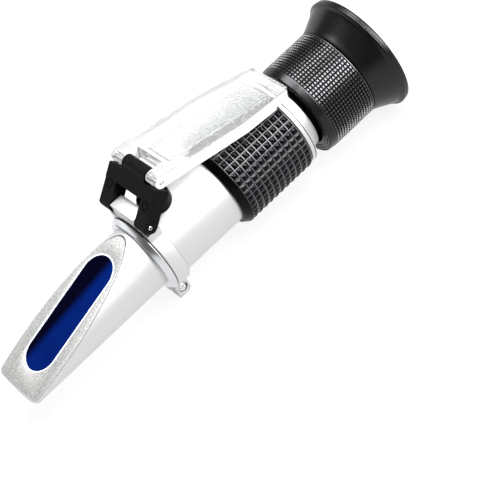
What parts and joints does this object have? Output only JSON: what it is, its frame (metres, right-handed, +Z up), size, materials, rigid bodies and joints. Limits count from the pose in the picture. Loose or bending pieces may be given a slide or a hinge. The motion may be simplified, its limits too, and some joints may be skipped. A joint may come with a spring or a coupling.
{
  "type": "antifreeze tester",
  "caption": "Handheld refractometer with a slanted prism window, a clear daylight cover folded back on a hinge link, a rubber grip and a turning eyepiece with a rubber eyecup",
  "frame": {"origin": "middle of the footprint, on the surface that the tester lies on: midway along the length and under the optical axis", "axes": "+X runs along the optical axis from the nose to the eyecup, +Z is up through the hinge lug and the calibration cap, +Y completes the frame"},
  "size_m": [0.16, 0.044, 0.0527],
  "materials": {
    "satin_aluminium": "satin turned aluminium, grainy on the slanted face",
    "blue_prism": "polished blue-black glass",
    "white_seal": "pale smooth sealant",
    "steel": "plain turned steel",
    "black_plastic": "matte black moulding",
    "clear_acrylic": "clear moulding, frosted in the middle",
    "black_rubber": "black rubber",
    "black_anodised": "black anodised, satin",
    "optical_glass": "polished clear glass",
    "brass": "plain brass"
  },
  "bodies": {
    "main_body": {"prism_housing": "satin_aluminium", "main_prism": "blue_prism", "prism_seal": "white_seal", "clamp_ring": "satin_aluminium", "clamp_screw": "steel", "bracket_pin": "steel", "main_tube": "satin_aluminium", "objective_cell": "black_anodised", "objective_lens": "optical_glass", "objective_retainer": "black_anodised", "bimetal_strip": "brass", "reticle_holder": "black_anodised", "reticle": "optical_glass", "reticle_retainer": "black_anodised", "rubber_grip": "black_rubber", "rear_collar": "satin_aluminium"},
    "hinge_link": {"hinge_bracket": "black_plastic", "cover_pin": "steel"},
    "daylight_cover": {"cover_plate": "clear_acrylic"},
    "rubber_cap": {"calibration_cap": "black_rubber"},
    "trim_screw": {"calibration_screw": "brass"},
    "focus_carrier": {"focus_o_ring": "black_rubber"},
    "eyepiece": {"eyepiece_barrel": "black_anodised", "field_lens": "optical_glass", "lens_spacer": "black_anodised", "eye_lens": "optical_glass", "eye_lens_retainer": "black_anodised", "focus_ring": "black_anodised", "eyecup": "black_rubber", "eyecup_ring": "black_anodised"}
  },
  "joints": [
    {"name": "link_fold", "type": "hinge", "parent": "main_body", "child": "hinge_link", "pos_m": [-0.0185, 0, 0.03965], "axis": [0, -1, 0], "range_deg": [0, 156.6]},
    {"name": "cover_fold", "type": "hinge", "parent": "hinge_link", "child": "daylight_cover", "pos_m": [-0.0076, 0, 0.05032], "axis": [0, -1, 0], "range_deg": [0, 52]},
    {"name": "cap_pull", "type": "slide", "parent": "main_body", "child": "rubber_cap", "axis": [0, 0, 1], "range_m": [0, 0.004]},
    {"name": "trim_turn", "type": "hinge", "parent": "main_body", "child": "trim_screw", "pos_m": [-0.0089, 0, 0.0325], "axis": [0, 0, 1], "range_deg": [-90, 90]},
    {"name": "focus_travel", "type": "slide", "parent": "main_body", "child": "focus_carrier", "axis": [1, 0, 0], "range_m": [-0.00091, 0.00271]},
    {"name": "focus_turn", "type": "hinge", "parent": "focus_carrier", "child": "eyepiece", "pos_m": [0.0405, 0, 0.02195], "axis": [1, 0, 0], "range_deg": [-108, 324]}
  ],
  "couplings": [
    {"joint": "focus_travel", "follows": "focus_turn", "m_per_rad": 0.00047746}
  ]
}
